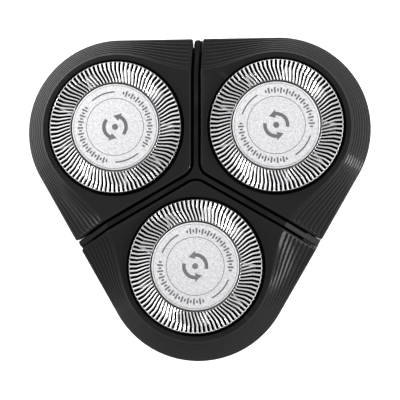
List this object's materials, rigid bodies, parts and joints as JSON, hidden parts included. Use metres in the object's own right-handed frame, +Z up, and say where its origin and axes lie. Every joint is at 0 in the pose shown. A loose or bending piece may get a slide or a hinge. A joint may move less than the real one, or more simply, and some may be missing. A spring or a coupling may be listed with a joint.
{
  "type": "rotary electric shaver",
  "caption": "Cordless rotary shaver with round slotted steel guards in tilting lobed pods round a Y-shaped spine, on a hinged shaving unit and a straight upright handle.",
  "frame": {"origin": "centre of the flat underside of the base, which the shaver stands on, on the handle's axis", "axes": "+Z up the handle through the shaving head, -Y the front with the power button and the single cutting head, +X to the right of someone who looks at the front"},
  "size_m": [0.063, 0.0592, 0.141],
  "materials": {
    "pod_black": "polished moulding with fine wave lines",
    "guard_steel": "satin, slotted, with printed marks",
    "seat_plastic": "fine moulded grain",
    "blade_steel": "ground",
    "hub_plastic": "moulded",
    "pin_steel": "drawn",
    "frame_black": "fine moulded grain",
    "housing_black": "satin gloss",
    "gear_plastic": "moulded acetal",
    "bush_brass": "turned",
    "seal_rubber": "moulded",
    "spring_steel": "drawn wire",
    "motor_steel": "plated",
    "motor_plastic": "moulded",
    "screw_steel": "zinc plated",
    "ring_chrome": "polished",
    "shell_black": "fine moulded grain",
    "panel_gloss": "polished",
    "grip_rubber": "soft, with fine ribs",
    "button_metal": "spun",
    "light_lens": "frosted",
    "board_green": "lacquered",
    "switch_plastic": "moulded",
    "cell_wrap": "shrink-wrapped",
    "inner_plastic": "moulded",
    "base_plastic": "fine moulded grain"
  },
  "bodies": {
    "handle": {"drive_housing": "housing_black", "hinge_pin": "pin_steel", "release_spring": "spring_steel", "spindle_bushes": "bush_brass", "spindle_seals": "seal_rubber", "motor_can": "motor_steel", "motor_end_cap": "motor_plastic", "neck_housing": "housing_black", "housing_screws": "screw_steel", "neck_ring": "ring_chrome", "front_shell": "shell_black", "rear_shell": "shell_black", "front_panel": "panel_gloss", "grip_sleeve": "grip_rubber", "charge_light": "light_lens", "circuit_board": "board_green", "tact_switch": "switch_plastic", "battery_cell": "cell_wrap", "inner_frame": "inner_plastic", "base_cap": "base_plastic", "base_screws": "screw_steel", "charging_socket": "seat_plastic"},
    "shaving_unit": {"carrier_frame": "frame_black", "pivot_pins_front": "pin_steel", "pivot_pins_right": "pin_steel", "pivot_pins_left": "pin_steel"},
    "rotor": {"motor_rotor": "motor_steel", "drive_pinion": "bush_brass"},
    "power_button": {"power_button": "button_metal"},
    "release_button": {"release_button": "frame_black"},
    "pod_front": {"pod_shell_front": "pod_black", "retaining_ring_front": "seat_plastic"},
    "guard_front": {"guard_cap_front": "guard_steel", "guard_ring_front": "seat_plastic"},
    "cutter_front": {"cutter_blades_front": "blade_steel", "cutter_hub_front": "hub_plastic"},
    "spindle_front": {"spindle_front": "pin_steel", "spindle_gear_front": "gear_plastic", "tip_spring_front": "spring_steel"},
    "tip_front": {"drive_tip_front": "hub_plastic"},
    "pod_right": {"pod_shell_right": "pod_black", "retaining_ring_right": "seat_plastic"},
    "guard_right": {"guard_cap_right": "guard_steel", "guard_ring_right": "seat_plastic"},
    "cutter_right": {"cutter_blades_right": "blade_steel", "cutter_hub_right": "hub_plastic"},
    "spindle_right": {"spindle_right": "pin_steel", "spindle_gear_right": "gear_plastic", "tip_spring_right": "spring_steel"},
    "tip_right": {"drive_tip_right": "hub_plastic"},
    "pod_left": {"pod_shell_left": "pod_black", "retaining_ring_left": "seat_plastic"},
    "guard_left": {"guard_cap_left": "guard_steel", "guard_ring_left": "seat_plastic"},
    "cutter_left": {"cutter_blades_left": "blade_steel", "cutter_hub_left": "hub_plastic"},
    "spindle_left": {"spindle_left": "pin_steel", "spindle_gear_left": "gear_plastic", "tip_spring_left": "spring_steel"},
    "tip_left": {"drive_tip_left": "hub_plastic"}
  },
  "joints": [
    {"name": "unit_hinge", "type": "hinge", "parent": "handle", "child": "shaving_unit", "pos_m": [0, 0.0234, 0.1291], "axis": [-1, 0, 0], "range_deg": [0, 100]},
    {"name": "rotor_spin", "type": "hinge", "parent": "handle", "child": "rotor", "pos_m": [0, 0, 0.1], "axis": [0, 0, 1], "continuous": true},
    {"name": "power_press", "type": "slide", "parent": "handle", "child": "power_button", "axis": [0, 1, 0], "range_m": [0, 0.0008], "stiffness_N_per_m": 900, "springref_m": -0.0006},
    {"name": "release_press", "type": "slide", "parent": "handle", "child": "release_button", "axis": [0, 1, 0], "range_m": [0, 0.001], "stiffness_N_per_m": 600, "springref_m": -0.0008, "deforming": ["release_spring"]},
    {"name": "pod_tilt_front", "type": "hinge", "parent": "shaving_unit", "child": "pod_front", "pos_m": [0, -0.0168, 0.135], "axis": [1, 0, 0], "range_deg": [-3, 3], "stiffness_Nm_per_rad": 0.03},
    {"name": "guard_float_front", "type": "slide", "parent": "pod_front", "child": "guard_front", "axis": [0, 0, 1], "range_m": [-0.001, 0], "stiffness_N_per_m": 400, "springref_m": 0.001},
    {"name": "cutter_spin_front", "type": "hinge", "parent": "guard_front", "child": "cutter_front", "pos_m": [0, -0.0168, 0.14], "axis": [0, 0, 1], "continuous": true},
    {"name": "spindle_spin_front", "type": "hinge", "parent": "handle", "child": "spindle_front", "pos_m": [0, -0.0168, 0.12], "axis": [0, 0, 1], "continuous": true},
    {"name": "tip_slide_front", "type": "slide", "parent": "spindle_front", "child": "tip_front", "axis": [0, 0, 1], "range_m": [-0.001, 0], "deforming": ["tip_spring_front"]},
    {"name": "pod_tilt_right", "type": "hinge", "parent": "shaving_unit", "child": "pod_right", "pos_m": [0.01455, 0.0084, 0.135], "axis": [-0.5, 0.866, 0], "range_deg": [-3, 3], "stiffness_Nm_per_rad": 0.03},
    {"name": "guard_float_right", "type": "slide", "parent": "pod_right", "child": "guard_right", "axis": [0, 0, 1], "range_m": [-0.001, 0], "stiffness_N_per_m": 400, "springref_m": 0.001},
    {"name": "cutter_spin_right", "type": "hinge", "parent": "guard_right", "child": "cutter_right", "pos_m": [0.01455, 0.0084, 0.14], "axis": [0, 0, 1], "continuous": true},
    {"name": "spindle_spin_right", "type": "hinge", "parent": "handle", "child": "spindle_right", "pos_m": [0.01455, 0.0084, 0.12], "axis": [0, 0, 1], "continuous": true},
    {"name": "tip_slide_right", "type": "slide", "parent": "spindle_right", "child": "tip_right", "axis": [0, 0, 1], "range_m": [-0.001, 0], "deforming": ["tip_spring_right"]},
    {"name": "pod_tilt_left", "type": "hinge", "parent": "shaving_unit", "child": "pod_left", "pos_m": [-0.01455, 0.0084, 0.135], "axis": [-0.5, -0.866, 0], "range_deg": [-3, 3], "stiffness_Nm_per_rad": 0.03},
    {"name": "guard_float_left", "type": "slide", "parent": "pod_left", "child": "guard_left", "axis": [0, 0, 1], "range_m": [-0.001, 0], "stiffness_N_per_m": 400, "springref_m": 0.001},
    {"name": "cutter_spin_left", "type": "hinge", "parent": "guard_left", "child": "cutter_left", "pos_m": [-0.01455, 0.0084, 0.14], "axis": [0, 0, 1], "continuous": true},
    {"name": "spindle_spin_left", "type": "hinge", "parent": "handle", "child": "spindle_left", "pos_m": [-0.01455, 0.0084, 0.12], "axis": [0, 0, 1], "continuous": true},
    {"name": "tip_slide_left", "type": "slide", "parent": "spindle_left", "child": "tip_left", "axis": [0, 0, 1], "range_m": [-0.001, 0], "deforming": ["tip_spring_left"]}
  ],
  "couplings": [
    {"joint": "cutter_spin_front", "follows": "rotor_spin", "ratio": -0.55556},
    {"joint": "spindle_spin_front", "follows": "rotor_spin", "ratio": -0.55556},
    {"joint": "tip_slide_front", "follows": "guard_float_front", "ratio": 1},
    {"joint": "cutter_spin_right", "follows": "rotor_spin", "ratio": -0.55556},
    {"joint": "spindle_spin_right", "follows": "rotor_spin", "ratio": -0.55556},
    {"joint": "tip_slide_right", "follows": "guard_float_right", "ratio": 1},
    {"joint": "cutter_spin_left", "follows": "rotor_spin", "ratio": -0.55556},
    {"joint": "spindle_spin_left", "follows": "rotor_spin", "ratio": -0.55556},
    {"joint": "tip_slide_left", "follows": "guard_float_left", "ratio": 1}
  ]
}
